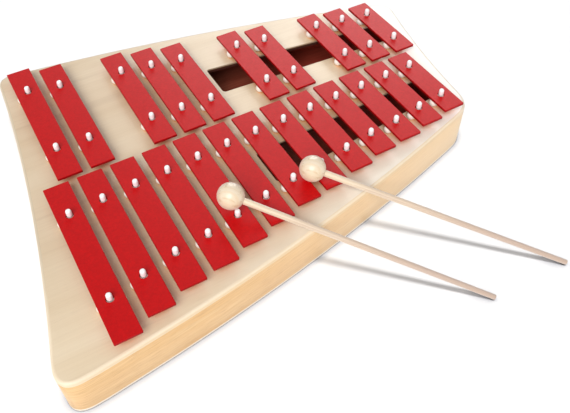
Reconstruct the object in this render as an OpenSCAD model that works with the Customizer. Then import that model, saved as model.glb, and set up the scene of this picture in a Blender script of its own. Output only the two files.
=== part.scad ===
// Chromatic xylophone: metal bars in two rows on a hollow plywood sound box, with two mallets.
// Millimetres, +Z up. The origin is on the table under the middle of the sound box.
// +X runs along the rows toward the short bars, +Y points from the natural row to the accidental row.

/* [Bars] */
// Length of the lowest bar
bar_longest = 148; // [120:1:180]
// Width of a bar
bar_width = 19.6; // [16:0.1:22]
// Thickness of a bar
bar_thickness = 2.2; // [1.5:0.1:4]
// Distance between the centres of neighbouring bars of one row
bar_pitch = 26.08; // [25:0.01:32]
// Gap between the two rows of bars
row_gap = 5.2; // [3:0.1:12]
// Semitones over which a bar halves in length
halving_interval = 24; // [22:0.5:40]
// Share of a bar's length from its end to the point that stays still when it rings
node_share = 0.2242; // [0.2:0.0001:0.25]
// Diameter of the holes in a bar
bar_hole_d = 5.6; // [5.2:0.1:7]

/* [Pegs] */
// Diameter of a peg's head
peg_head_d = 4.6; // [4:0.1:4.8]
// Diameter of a peg's neck and shank
peg_neck_d = 3.2; // [2:0.1:3.6]
// Height of a peg's top above the bar
peg_proud = 5.8; // [5:0.1:8]
// Length of a peg's head
peg_head_len = 4; // [3:0.1:4.4]
// Radial clearance between a peg and the hole that holds it
peg_fit = 0.05; // [0.03:0.01:0.1]

/* [Rests] */
// Diameter of the round rest under a bar
rest_d = 7.2; // [6:0.1:9]
// Height of the bar's underside above the top board
rest_height = 7; // [5:0.1:8]
// Length of a rest, across the bar
rest_len = 21.6; // [21:0.1:25]

/* [Sound box] */
// Height of the whole box
box_height = 38; // [28:0.5:60]
// Thickness of the top board
top_thickness = 4; // [3:0.5:8]
// Thickness of the bottom board
bottom_thickness = 3; // [2:0.5:6]
// Thickness of the four rails
rail_thickness = 8; // [5:0.5:12]
// Room from the middle of the first bar to the left end of the box
left_room = 29.3; // [25:0.1:40]
// Room from the middle of the last bar to the right end of the box
right_room = 23.9; // [20:0.1:40]
// Room beyond the ends of the long bars at the left corners
low_margin = 9; // [6:0.1:30]
// Room beyond the ends of the short bars at the right corners
high_margin = 3.6; // [2:0.1:30]
// Lean of the left end: how far its far corner lies right of its near corner
left_lean = 48.5; // [20:0.5:60]
// Lean of the right end
right_lean = 28.8; // [15:0.5:35]
// Outward bow of the near side
near_bow = 11.5; // [9:0.1:20]
// Outward bow of the far side
far_bow = 9.6; // [7:0.1:20]
// Inward bow of the left end
left_bow = 7.6; // [2:0.1:10]
// Inward bow of the right end
right_bow = 4; // [1:0.1:6]
// Size of the round corner at the near left
near_left_corner = 22; // [10:0.5:30]
// Size of the round corner at the near right
near_right_corner = 18; // [10:0.5:26]
// Size of the round corner at the far right
far_right_corner = 16; // [10:0.5:26]
// Size of the round corner at the far left
far_left_corner = 14; // [10:0.5:26]

/* [Sound slots] */
// Left end of the far slot, from the middle of the box
far_slot_start = 0.7; // [-20:0.1:20]
// Left end of the near slot
near_slot_start = -11.3; // [-30:0.1:10]
// Distance from the middle of the last bar to the right end of the far slot
far_slot_stop = 7; // [-10:0.1:10]
// Distance from the middle of the last bar to the right end of the near slot
near_slot_stop = -6; // [-20:0.1:0]
// Share of the bar's length from the row gap to the near edge of its slot
slot_inner_share = 0.35; // [0.3:0.005:0.4]
// Share of the bar's length from the row gap to the outer edge of its slot
slot_outer_share = 0.675; // [0.6:0.005:0.7]
// Radius of the slots' corners
slot_corner_r = 3; // [1:0.5:6]

/* [Mallets] */
// Diameter of a mallet's ball
ball_d = 20; // [16:0.5:24]
// Diameter of a mallet's stick
stick_d = 5; // [4:0.1:6]
// Distance from the middle of the ball to the end of the stick
mallet_len = 205; // [195:1:240]
// Depth of the stick's end past the middle of the ball
stick_bite = 4; // [1:0.5:6]
// Radial clearance of the stick in the ball
stick_fit = 0.1; // [0.03:0.01:0.1]
// Room between the stick's end and the bottom of its hole
stick_end_room = 0.3; // [0.1:0.1:1]
// Clearance between a mallet and the bars that it lies on
mallet_clearance = 0.2; // [0.1:0.05:0.5]
// Direction of the sticks, clockwise from +X seen from above
stick_turn = 43.6; // [35:0.1:50]
// Position of the first ball along the row, from the middle of the fifth natural bar
ball_1_shift = -1.2; // [-6:0.1:4]
// Distance of the first ball beyond the end of the bar that its stick lies on
ball_1_inset = 26.9; // [20:0.1:32]
// Distance of the second ball from the end of the eighth natural bar
ball_2_inset = 15.2; // [12:0.1:30]

/* [Hidden] */
$fn = 48;
ARC_STEPS = 10;    // points on a round corner
SIDE_STEPS = 14;   // points on a bowed side
CUT = 1;           // how far a cutter runs past the face that it cuts
SOLVE_STEPS = 8;   // passes that settle the first mallet on its bar

// Semitone of each bar above the lowest, and each accidental bar's place between the naturals
NATURALS = [0, 2, 4, 5, 7, 9, 11, 12, 14, 16, 17, 19, 21];
ACCIDENTALS = [1, 3, 6, 8, 10, 13, 15, 18, 20, 22];
ACCIDENTAL_PLACES = [0.5, 1.5, 3.5, 4.5, 5.5, 7.5, 8.5, 10.5, 11.5, 12.5];
LAST_PLACE = 12.5;
LAST_SEMITONE = 22;
WHOLE_TONE = 2;

// Mallet seats, counted along the natural row from nought
BALL_1_BAR = 4;
STICK_1_BAR = 5;
BALL_2_BAR = 7;

function bar_len(semitone) = bar_longest * pow(2, -semitone / halving_interval);

half_length = (left_room + LAST_PLACE * bar_pitch + right_room) / 2;
first_x = left_room - half_length;
last_x = half_length - right_room;
function place_x(place) = first_x + place * bar_pitch;

// Heights of the layers above the table
rail_base = bottom_thickness;
board_base = box_height - top_thickness;
bar_base = box_height + rest_height;
bar_top = bar_base + bar_thickness;
peg_top = bar_top + peg_proud;

// Half widths of the box at its left and right corners
left_half = row_gap / 2 + bar_longest + low_margin;
right_half = row_gap / 2 + bar_len(LAST_SEMITONE + WHOLE_TONE) + high_margin;

// Corners before rounding, anticlockwise from near left, and the bow of the side after each
CORNERS = [
    [-half_length - left_lean / 2, -left_half],
    [half_length - right_lean / 2, -right_half],
    [half_length + right_lean / 2, right_half],
    [-half_length + left_lean / 2, left_half],
];
BOWS = [near_bow, -right_bow, far_bow, -left_bow];
CORNER_CUTS = [near_left_corner, near_right_corner, far_right_corner, far_left_corner];

function along(a, b, t) = a + (b - a) * t;
function quad(a, b, c, t) = along(along(a, b, t), along(b, c, t), t);
function unit(v) = v / norm(v);
function outward(v) = [v[1], -v[0]];
function cross_z(a, b) = a[0] * b[1] - a[1] * b[0];
// Point where the line from a along u meets the line from b along v
function meet(a, u, b, v) = a + u * cross_z(b - a, v) / cross_z(u, v);

// A side is a bowed curve through its middle: its control point, a point of it and its direction there
function side_control(i) =
    let (a = CORNERS[i], b = CORNERS[(i + 1) % 4])
    (a + b) / 2 + 2 * BOWS[i] * outward(unit(b - a));
function side_point(i, t) = quad(CORNERS[i], side_control(i), CORNERS[(i + 1) % 4], t);
function side_way(i, t) =
    unit(along(side_control(i) - CORNERS[i], CORNERS[(i + 1) % 4] - side_control(i), t));
function side_length(i) = norm(CORNERS[(i + 1) % 4] - CORNERS[i]);
function side_from(i) = CORNER_CUTS[i] / side_length(i);
function side_to(i) = 1 - CORNER_CUTS[(i + 1) % 4] / side_length(i);

function side_points(i) =
    [for (k = [0 : SIDE_STEPS]) side_point(i, along(side_from(i), side_to(i), k / SIDE_STEPS))];
function corner_points(i) =
    let (
        before = (i + 3) % 4,
        a = side_point(before, side_to(before)),
        b = side_point(i, side_from(i)),
        tip = meet(a, side_way(before, side_to(before)), b, side_way(i, side_from(i)))
    )
    [for (k = [1 : ARC_STEPS - 1]) quad(a, tip, b, k / ARC_STEPS)];

// The outline, and the same outline moved inward
OUTLINE = [for (i = [0 : 3]) each concat(corner_points(i), side_points(i))];
POINTS = len(OUTLINE);
function inset_outline(d) = [
    for (k = [0 : POINTS - 1])
        let (way = unit(OUTLINE[(k + 1) % POINTS] - OUTLINE[(k + POINTS - 1) % POINTS]))
        OUTLINE[k] - d * outward(way)
];
INNER = inset_outline(rail_thickness);

// Each rail runs from the middle of one corner to the middle of the next
SPAN = POINTS / 4;
HALF_CORNER = ARC_STEPS / 2 - 1;
function rail_points(i) =
    let (first = i * SPAN + HALF_CORNER, ring = [for (k = [0 : SPAN]) (first + k) % POINTS])
    concat([for (k = ring) OUTLINE[k]], [for (k = [SPAN : -1 : 0]) INNER[ring[k]]]);

// Slots: the edges follow the bars' lengths from one end of the slot to the other
SLOT_LOW = 11;
slot_low_len = bar_len(SLOT_LOW);
slot_high_len = bar_len(LAST_SEMITONE);
function slot_corners(start, stop) = [
    [start, row_gap / 2 + slot_inner_share * slot_low_len],
    [stop, row_gap / 2 + slot_inner_share * slot_high_len],
    [stop, row_gap / 2 + slot_outer_share * slot_high_len],
    [start, row_gap / 2 + slot_outer_share * slot_low_len],
];
function round_corner(before, tip, after, r) =
    let (a = tip + r * unit(before - tip), b = tip + r * unit(after - tip))
    [for (k = [0 : ARC_STEPS]) quad(a, tip, b, k / ARC_STEPS)];
function rounded(points, r) =
    let (n = len(points))
    [for (i = [0 : n - 1]) each round_corner(points[(i + n - 1) % n], points[i], points[(i + 1) % n], r)];

// Mallets: the stick's end lies on the table and the ball's height gives the lean
stick_end_z = stick_d / 2;
function lean(ball_z) = asin((ball_z - stick_end_z) / mallet_len);
function natural_end(i) = -row_gap / 2 - bar_len(NATURALS[i]);

// The second ball lies in the gap between two bars
ball_2_gap = bar_pitch - bar_width;
ball_2_x = place_x(BALL_2_BAR - 0.5);
ball_2_y = natural_end(BALL_2_BAR) + ball_2_inset;
ball_2_z = bar_top + sqrt(pow(ball_d / 2 + mallet_clearance, 2) - pow(ball_2_gap / 2, 2));

// The first stick lies on the near edge of a bar, which holds its ball above the next bar
ball_1_x = place_x(BALL_1_BAR) + ball_1_shift;
ball_1_y = natural_end(STICK_1_BAR) + ball_1_inset;
function lifted_z(tilt) =
    let (
        side_part = sin(stick_turn) * cos(tilt),
        skew = norm([sin(tilt), side_part])
    )
    bar_top + (ball_1_inset * sin(tilt) + (stick_d / 2 + mallet_clearance) * skew) / side_part;
function settled_z(z, steps) = steps == 0 ? z : settled_z(lifted_z(lean(z)), steps - 1);
ball_1_z = settled_z(bar_top + ball_d, SOLVE_STEPS);

WOOD = "#EAD0A9";
PALE_WOOD = "#F0DDBF";
BAR_RED = "#C4262A";
WHITE = "#F4F1EA";

NATURAL_NODES = [for (i = [0 : len(NATURALS) - 1]) str("natural_bar_", i + 1)];
ACCIDENTAL_NODES = [for (i = [0 : len(ACCIDENTALS) - 1]) str("accidental_bar_", i + 1)];

// Puts its children at both still points of a bar, whose near end is at y
module at_still_points(x, y, length) {
    for (share = [node_share, 1 - node_share])
        translate([x, y + share * length, 0])
            children();
}

module at_natural_points() {
    for (i = [0 : len(NATURALS) - 1])
        at_still_points(place_x(i), natural_end(i), bar_len(NATURALS[i]))
            children();
}

module at_accidental_points() {
    for (i = [0 : len(ACCIDENTALS) - 1])
        at_still_points(place_x(ACCIDENTAL_PLACES[i]), row_gap / 2, bar_len(ACCIDENTALS[i]))
            children();
}

module layer(points, z, height) {
    translate([0, 0, z])
        linear_extrude(height)
            polygon(points);
}

module bottom_board() {
    color(PALE_WOOD)
        layer(OUTLINE, 0, bottom_thickness);
}

module rail(i) {
    color(WOOD)
        layer(rail_points(i), rail_base, board_base - rail_base);
}

// The drilling for a peg, right through the top board
module peg_drilling() {
    translate([0, 0, board_base - CUT])
        cylinder(d = peg_neck_d + 2 * peg_fit, h = top_thickness + 2 * CUT);
}

module slot_cutter(start, stop) {
    layer(rounded(slot_corners(start, stop), slot_corner_r), board_base - CUT, top_thickness + 2 * CUT);
}

module top_board() {
    color(PALE_WOOD)
        difference() {
            layer(OUTLINE, board_base, top_thickness);
            slot_cutter(far_slot_start, last_x + far_slot_stop);
            mirror([0, 1, 0])
                slot_cutter(near_slot_start, last_x + near_slot_stop);
            at_natural_points()
                peg_drilling();
            at_accidental_points()
                peg_drilling();
        }
}

// A round-ended roll across the bar, flat where it stands on the board and where the bar lies on it
module rest() {
    barrel_len = rest_len - rest_d;
    middle_z = box_height + rest_height / 2;
    difference() {
        intersection() {
            translate([0, 0, middle_z])
                union() {
                    rotate([0, 90, 0])
                        cylinder(d = rest_d, h = barrel_len, center = true);
                    for (side = [-1, 1])
                        translate([side * barrel_len / 2, 0, 0])
                            sphere(d = rest_d);
                }
            translate([-rest_len, -rest_d, box_height])
                cube([2 * rest_len, 2 * rest_d, rest_height]);
        }
        translate([0, 0, box_height - CUT])
            cylinder(d = peg_neck_d + 2 * peg_fit, h = rest_height + 2 * CUT);
    }
}

module natural_rests() {
    color(WHITE)
        at_natural_points()
            rest();
}

module accidental_rests() {
    color(WHITE)
        at_accidental_points()
            rest();
}

// A peg stands in the top board and passes through the rest and the bar
module peg() {
    dome_r = peg_head_d / 2;
    shoulder = (peg_head_d - peg_neck_d) / 2;
    head_base = peg_top - peg_head_len;
    translate([0, 0, board_base])
        cylinder(d = peg_neck_d, h = head_base - board_base);
    translate([0, 0, head_base])
        cylinder(d1 = peg_neck_d, d2 = peg_head_d, h = shoulder);
    translate([0, 0, head_base + shoulder])
        cylinder(d = peg_head_d, h = peg_head_len - shoulder - dome_r);
    translate([0, 0, peg_top - dome_r])
        sphere(r = dome_r);
}

module natural_pegs() {
    color(WHITE)
        at_natural_points()
            peg();
}

module accidental_pegs() {
    color(WHITE)
        at_accidental_points()
            peg();
}

// A flat bar whose near end is at y, with a hole at each of its still points
module bar(x, y, length) {
    color(BAR_RED)
        difference() {
            translate([x - bar_width / 2, y, bar_base])
                cube([bar_width, length, bar_thickness]);
            at_still_points(x, y, length)
                translate([0, 0, bar_base - CUT])
                    cylinder(d = bar_hole_d, h = bar_thickness + 2 * CUT);
        }
}

module natural_bar(i) {
    bar(place_x(i), natural_end(i), bar_len(NATURALS[i]));
}

module accidental_bar(i) {
    bar(place_x(ACCIDENTAL_PLACES[i]), row_gap / 2, bar_len(ACCIDENTALS[i]));
}

// Places a mallet that was drawn along +X with the middle of its ball at the origin
module lay_mallet(x, y, z) {
    translate([x, y, z])
        rotate([0, 0, -stick_turn])
            rotate([0, lean(z), 0])
                children();
}

// A ball with a blind hole for the stick, turned about the stick's axis
module head() {
    hole_r = stick_d / 2 + stick_fit;
    hole_depth = ball_d / 2 + stick_bite + stick_end_room;
    color(PALE_WOOD)
        rotate([0, 90, 0])
            rotate_extrude()
                difference() {
                    intersection() {
                        circle(d = ball_d);
                        translate([0, -ball_d])
                            square([ball_d, 2 * ball_d]);
                    }
                    translate([0, ball_d / 2 - hole_depth])
                        square([hole_r, ball_d]);
                }
}

module stick() {
    color(PALE_WOOD)
        translate([-stick_bite, 0, 0])
            rotate([0, 90, 0])
                cylinder(d = stick_d, h = stick_bite + mallet_len);
}

bottom_board();
rail(0);  // front_rail
rail(1);  // right_rail
rail(2);  // back_rail
rail(3);  // left_rail
top_board();
natural_rests();
accidental_rests();
natural_pegs();
accidental_pegs();
for (i = [0 : len(NATURALS) - 1])
    natural_bar(i);
for (i = [0 : len(ACCIDENTALS) - 1])
    accidental_bar(i);
lay_mallet(ball_1_x, ball_1_y, ball_1_z) head();  // mallet_1_head
lay_mallet(ball_1_x, ball_1_y, ball_1_z) stick();  // mallet_1_stick
lay_mallet(ball_2_x, ball_2_y, ball_2_z) head();  // mallet_2_head
lay_mallet(ball_2_x, ball_2_y, ball_2_z) stick();  // mallet_2_stick
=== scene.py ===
"""Visual model of a chromatic toy xylophone with its two mallets.

Two rows of red lacquered steel bars lie on soft rests over a hollow, flared
plywood sound box, and white pegs hold them at their still points. Every piece
is in metres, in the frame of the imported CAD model.
"""

import logging
import math
from collections.abc import Iterable, Sequence
from dataclasses import dataclass
from enum import Enum

import bmesh
import bpy
import numpy as np
from mathutils import Matrix, Quaternion, Vector


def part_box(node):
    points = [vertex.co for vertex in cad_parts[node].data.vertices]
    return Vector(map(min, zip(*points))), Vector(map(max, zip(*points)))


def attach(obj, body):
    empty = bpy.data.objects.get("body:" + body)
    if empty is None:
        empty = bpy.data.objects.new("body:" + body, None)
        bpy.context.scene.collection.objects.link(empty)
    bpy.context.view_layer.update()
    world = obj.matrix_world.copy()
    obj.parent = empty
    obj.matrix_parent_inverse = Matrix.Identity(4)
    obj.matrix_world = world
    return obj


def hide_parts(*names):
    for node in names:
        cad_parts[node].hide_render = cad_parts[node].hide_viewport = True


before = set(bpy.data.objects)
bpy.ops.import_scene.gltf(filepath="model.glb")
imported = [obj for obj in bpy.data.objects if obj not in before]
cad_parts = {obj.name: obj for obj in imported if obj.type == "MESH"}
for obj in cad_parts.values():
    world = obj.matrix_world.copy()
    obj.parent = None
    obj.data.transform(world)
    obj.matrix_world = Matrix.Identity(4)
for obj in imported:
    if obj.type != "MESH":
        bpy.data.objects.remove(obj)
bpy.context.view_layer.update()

LOG = logging.getLogger("xylophone")
MM = 0.001
TINY = 0.01 * MM
REACH = "reach"
STILL_SHARE = 0.2242  # of a bar's length, from each end to the point that doesn't move

Triple = tuple[float, float, float]
Points = np.ndarray
NodeSocket = bpy.types.NodeSocket


# ---------------------------------------------------------------- node trees
class Tree:
    """Adds nodes to a shader or geometry tree and links them."""

    def __init__(self, tree: bpy.types.NodeTree) -> None:
        """Wraps a node tree."""
        self.tree = tree

    def add(self, kind: str, inputs: dict | None = None, **settings: object) -> bpy.types.Node:
        """Adds one node.

        Args:
            kind: the node's type name.
            inputs: values or output sockets by input name or place.
            **settings: the node's own properties.

        Returns:
            The new node.
        """
        node = self.tree.nodes.new(kind)
        for key, value in settings.items():
            setattr(node, key, value)
        for key, value in (inputs or {}).items():
            self.feed(node.inputs[key], value)
        return node

    def out(self, kind: str, inputs: dict | None = None, **settings: object) -> NodeSocket:
        """Adds one node, as add does, and gives its first output."""
        return self.add(kind, inputs, **settings).outputs[0]

    def feed(self, socket: NodeSocket, value: object) -> None:
        """Links an output to a socket, or sets the socket's own value.

        Args:
            socket: the input socket.
            value: an output socket or a plain value.
        """
        if isinstance(value, NodeSocket):
            self.tree.links.new(value, socket)
        else:
            socket.default_value = value

    def math(self, operation: str, *values: object) -> NodeSocket:
        """Works out a Math node's operation on values or sockets."""
        return self.out("ShaderNodeMath", dict(enumerate(values)), operation=operation)

    def times(self, first: object, second: object) -> NodeSocket:
        """Multiplies two values or sockets."""
        return self.math("MULTIPLY", first, second)

    def minus(self, first: object, second: object) -> NodeSocket:
        """Takes the second value or socket from the first."""
        return self.math("SUBTRACT", first, second)

    def xyz(self, x: object = 0.0, y: object = 0.0, z: object = 0.0) -> NodeSocket:
        """Joins three values or sockets into a vector."""
        return self.out("ShaderNodeCombineXYZ", {0: x, 1: y, 2: z})

    def split(self, vector: NodeSocket) -> Sequence[NodeSocket]:
        """Splits a vector into its X, Y and Z."""
        return self.add("ShaderNodeSeparateXYZ", {0: vector}).outputs

    def length(self, vector: NodeSocket) -> NodeSocket:
        """Measures a vector."""
        node = self.add("ShaderNodeVectorMath", {0: vector}, operation="LENGTH")
        return node.outputs["Value"]


@dataclass(frozen=True)
class Ramp:
    """A range of a value, and the results at its ends."""

    low: float
    high: float
    start: float = 0.0
    stop: float = 1.0


@dataclass(frozen=True)
class Grain:
    """A noise pattern of a finish.

    Attributes:
        scale: its repeats a metre along each axis.
        ramp: how its value becomes the share of a colour.
        detail: how many finer layers it has.
        roughness: how strong the finer layers are.
        bend: how far it is distorted.
    """

    scale: Triple
    ramp: Ramp = Ramp(0.3, 0.7)
    detail: float = 3.0
    roughness: float = 0.55
    bend: float = 0.0


class Surface(Tree):
    """Shader tree of one material, with the patterns that the finishes share.

    Attributes:
        ACROSS: turn from object place to place across the board.
        NOISE_SPAN: the range that most of a noise pattern keeps to.
    """

    ACROSS = (0.0, 0.0, math.pi / 3)
    NOISE_SPAN = (0.3, 0.7)

    def __init__(self, name: str) -> None:
        """Starts an empty material.

        Args:
            name: the material's name.
        """
        self.material = bpy.data.materials.new(name)
        self.material.use_nodes = True
        super().__init__(self.material.node_tree)
        self.tree.nodes.clear()
        self.shader = self.add("ShaderNodeBsdfPrincipled")
        self.add("ShaderNodeOutputMaterial", {"Surface": self.shader.outputs[0]})
        self.object_place = self.add("ShaderNodeTexCoord").outputs["Object"]
        self.pattern_place = self.object_place
        self.noises: dict[Grain, NodeSocket] = {}

    def placed(self, source: NodeSocket, **changes: Triple) -> NodeSocket:
        """Changes coordinates by the Mapping node's Scale, Rotation and Location."""
        return self.out("ShaderNodeMapping", {"Vector": source} | changes)

    def noise(self, grain: Grain) -> NodeSocket:
        """Adds a pattern the first time it is asked for, and finds it again after that.

        Args:
            grain: the pattern.

        Returns:
            Its value, 0 to 1.
        """
        if grain not in self.noises:
            inputs = {
                "Vector": self.placed(self.pattern_place, Scale=grain.scale),
                "Scale": 1.0,
                "Detail": grain.detail,
                "Roughness": grain.roughness,
                "Distortion": grain.bend,
            }
            self.noises[grain] = self.add("ShaderNodeTexNoise", inputs).outputs["Fac"]
        return self.noises[grain]

    def between(self, value: NodeSocket, ramp: Ramp) -> NodeSocket:
        """Remaps a value by a ramp, held between the ramp's results."""
        inputs = {0: value, 1: ramp.low, 2: ramp.high, 3: ramp.start, 4: ramp.stop}
        return self.out("ShaderNodeMapRange", inputs, clamp=True)

    def blend(
        self, share: object, first: object, second: object, kind: str = "MIX"
    ) -> NodeSocket:
        """Mixes two colours.

        Args:
            share: how much of the second colour.
            first: a colour or socket.
            second: a colour or socket.
            kind: the blend type.

        Returns:
            The mixed colour.
        """
        node = self.add("ShaderNodeMix", data_type="RGBA", blend_type=kind)
        self.feed(node.inputs["Factor"], share)
        self.feed(node.inputs["A"], opaque(first))
        self.feed(node.inputs["B"], opaque(second))
        return node.outputs["Result"]

    def tinted(self, share: object, colour: object, tint: Triple) -> NodeSocket:
        """Multiplies a colour by a share of a tint."""
        return self.blend(share, colour, tint, "MULTIPLY")

    def layer(self, colour: object, grain: Grain, second: Triple) -> NodeSocket:
        """Lays a second colour over the first where a pattern is strong."""
        return self.blend(self.between(self.noise(grain), grain.ramp), colour, second)

    def across(self) -> NodeSocket:
        """Place across the board from its far left to its near right, in metres."""
        return self.split(self.placed(self.object_place, Rotation=self.ACROSS))[0]

    def openness(self, distance: float, samples: int) -> NodeSocket:
        """How open the surroundings are within a distance, 0 to 1."""
        inputs = {"Distance": distance}
        return self.add("ShaderNodeAmbientOcclusion", inputs, samples=samples).outputs["AO"]

    def uneven(self, grain: Grain, least: float, most: float) -> NodeSocket:
        """Roughness that follows a pattern between two values."""
        return self.between(self.noise(grain), Ramp(*self.NOISE_SPAN, least, most))

    def bump(self, grain: Grain, depth: float, strength: float) -> None:
        """Raises the surface by a pattern.

        Args:
            grain: the pattern.
            depth: height of its full range, in metres.
            strength: share of the bump that shows.
        """
        inputs = {"Height": self.noise(grain), "Distance": depth, "Strength": strength}
        self.feed(self.shader.inputs["Normal"], self.out("ShaderNodeBump", inputs))

    def finish(
        self, colour: object, roughness: object, **constants: float
    ) -> bpy.types.Material:
        """Sets the shader's colour, gloss and constants.

        Args:
            colour: base colour or socket.
            roughness: roughness value or socket.
            **constants: other shader inputs, with _ for a space.

        Returns:
            The finished material.
        """
        self.feed(self.shader.inputs["Base Color"], opaque(colour))
        self.feed(self.shader.inputs["Roughness"], roughness)
        for key, value in constants.items():
            self.shader.inputs[key.replace("_", " ")].default_value = value
        return self.material


def opaque(colour: object) -> object:
    """Gives a plain colour its alpha, and passes a socket through."""
    return colour if isinstance(colour, NodeSocket) else (*colour, 1.0)


# ------------------------------------------------------------------ finishes
@dataclass(frozen=True)
class VeneerFinish:
    """Pale satin-lacquered birch veneer, with soft figure and short pores.

    Attributes:
        tanned: painted shade, a darker tint toward the far left, by the ramp tan.
        bleached: painted light, a paler colour toward the near right, by the ramp bleach.
        washed: painted glare, a paler colour at the right end, by the ramp wash.
        sheltered: painted shade with a red bounce tint in narrow gaps, within the distance shelter,
            by the ramp close.
    """

    name: str
    pale: Triple = (0.84, 0.695, 0.495)
    warm: Triple = (0.745, 0.57, 0.365)
    streak: Triple = (0.565, 0.41, 0.255)
    tanned: Triple = (0.89, 0.875, 0.86)
    bleached: Triple = (0.92, 0.87, 0.77)
    washed: Triple = (0.97, 0.945, 0.90)
    sheltered: Triple = (1.0, 0.66, 0.42)
    shelter: float = 12 * MM
    tan: Ramp = Ramp(-0.05, 0.015, 1.0, 0.0)
    bleach: Ramp = Ramp(0.07, 0.145, 0.0, 0.9)
    wash: Ramp = Ramp(0.13, 0.185, 0.0, 0.85)
    close: Ramp = Ramp(0.3, 0.58, 1.0, 0.0)
    figure: Grain = Grain((5, 26, 26), Ramp(0.35, 0.7, 0.0, 0.75), bend=0.6)
    ripple: Grain = Grain((70, 13, 13), Ramp(0.4, 0.75, 0.0, 0.18), 2)
    flow: Grain = Grain((3.5, 60, 60), Ramp(0.56, 0.72, 0.0, 0.3), 4, bend=1.2)
    fibre: Grain = Grain((16, 520, 520), Ramp(0.35, 0.75, 0.0, 0.16), 4, 0.6)
    pores: Grain = Grain((90, 1500, 1500), Ramp(0.66, 0.76, 0.0, 0.25), 1)

    def material(self) -> bpy.types.Material:
        """Builds the material.

        Returns:
            The finished material.
        """
        s = Surface(self.name)
        colour = s.layer(self.pale, self.figure, self.warm)
        colour = s.layer(colour, self.ripple, self.warm)
        for grain in (self.flow, self.fibre, self.pores):
            colour = s.layer(colour, grain, self.streak)
        across, right = s.across(), s.split(s.object_place)[0]
        # Painted shade: the board is tinted darker toward its far left.
        colour = s.tinted(s.between(across, self.tan), colour, self.tanned)
        # Painted light: the board is made paler toward its near right.
        colour = s.blend(s.between(across, self.bleach), colour, self.bleached)
        # Painted glare: the board is made paler still at its right end.
        colour = s.blend(s.between(right, self.wash), colour, self.washed)
        # Painted shade in the narrow gaps under and between the bars, tinted red for light bounced
        # off them.
        gap = s.between(s.openness(self.shelter, 8), self.close)
        colour = s.tinted(gap, colour, self.sheltered)
        s.bump(self.fibre, depth=0.04 * MM, strength=0.4)
        return s.finish(colour, s.uneven(self.fibre, 0.36, 0.46), Specular_IOR_Level=0.6)


@dataclass(frozen=True)
class RailFinish:
    """Warm lacquered wood whose grain follows the rail by its UV map.

    Attributes:
        bleached: painted light, a paler colour toward the right end, by the ramp bleach.
        foot: colour of the lowest edge, by the ramp low.
    """

    name: str
    pale: Triple = (0.86, 0.59, 0.30)
    warm: Triple = (0.805, 0.485, 0.20)
    streak: Triple = (0.53, 0.27, 0.10)
    bleached: Triple = (0.93, 0.70, 0.44)
    foot: Triple | None = None
    bleach: Ramp = Ramp(-0.11, 0.18, 0.0, 0.85)
    low: Ramp = Ramp(2.0 * MM, 2.4 * MM, 1.0, 0.0)
    patch: Grain = Grain((9, 14, 1), Ramp(0.3, 0.7), 2)
    figure: Grain = Grain((13, 110, 1), Ramp(0.42, 0.68, 0.0, 0.75), bend=1.0)
    fibre: Grain = Grain((14, 900, 1), Ramp(0.4, 0.75, 0.0, 0.5), 4, 0.65)
    dashes: Grain = Grain((75, 1900, 1), Ramp(0.57, 0.69, 0.0, 0.55), 1)

    def material(self) -> bpy.types.Material:
        """Builds the material.

        Returns:
            The finished material.
        """
        s = Surface(self.name)
        s.pattern_place = s.out("ShaderNodeUVMap", uv_map="UVMap")
        colour = s.layer(self.pale, self.patch, self.warm)
        colour = s.layer(colour, self.figure, self.warm)
        colour = s.layer(colour, self.fibre, self.streak)
        colour = s.layer(colour, self.dashes, self.streak)
        right, _, height = s.split(s.object_place)
        # Painted light: the rail is made paler toward its right end.
        colour = s.blend(s.between(right, self.bleach), colour, self.bleached)
        if self.foot:
            colour = s.blend(s.between(height, self.low), colour, self.foot)
        s.bump(self.fibre, depth=0.05 * MM, strength=0.5)
        return s.finish(colour, s.uneven(self.fibre, 0.34, 0.46), Specular_IOR_Level=0.6)


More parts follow.
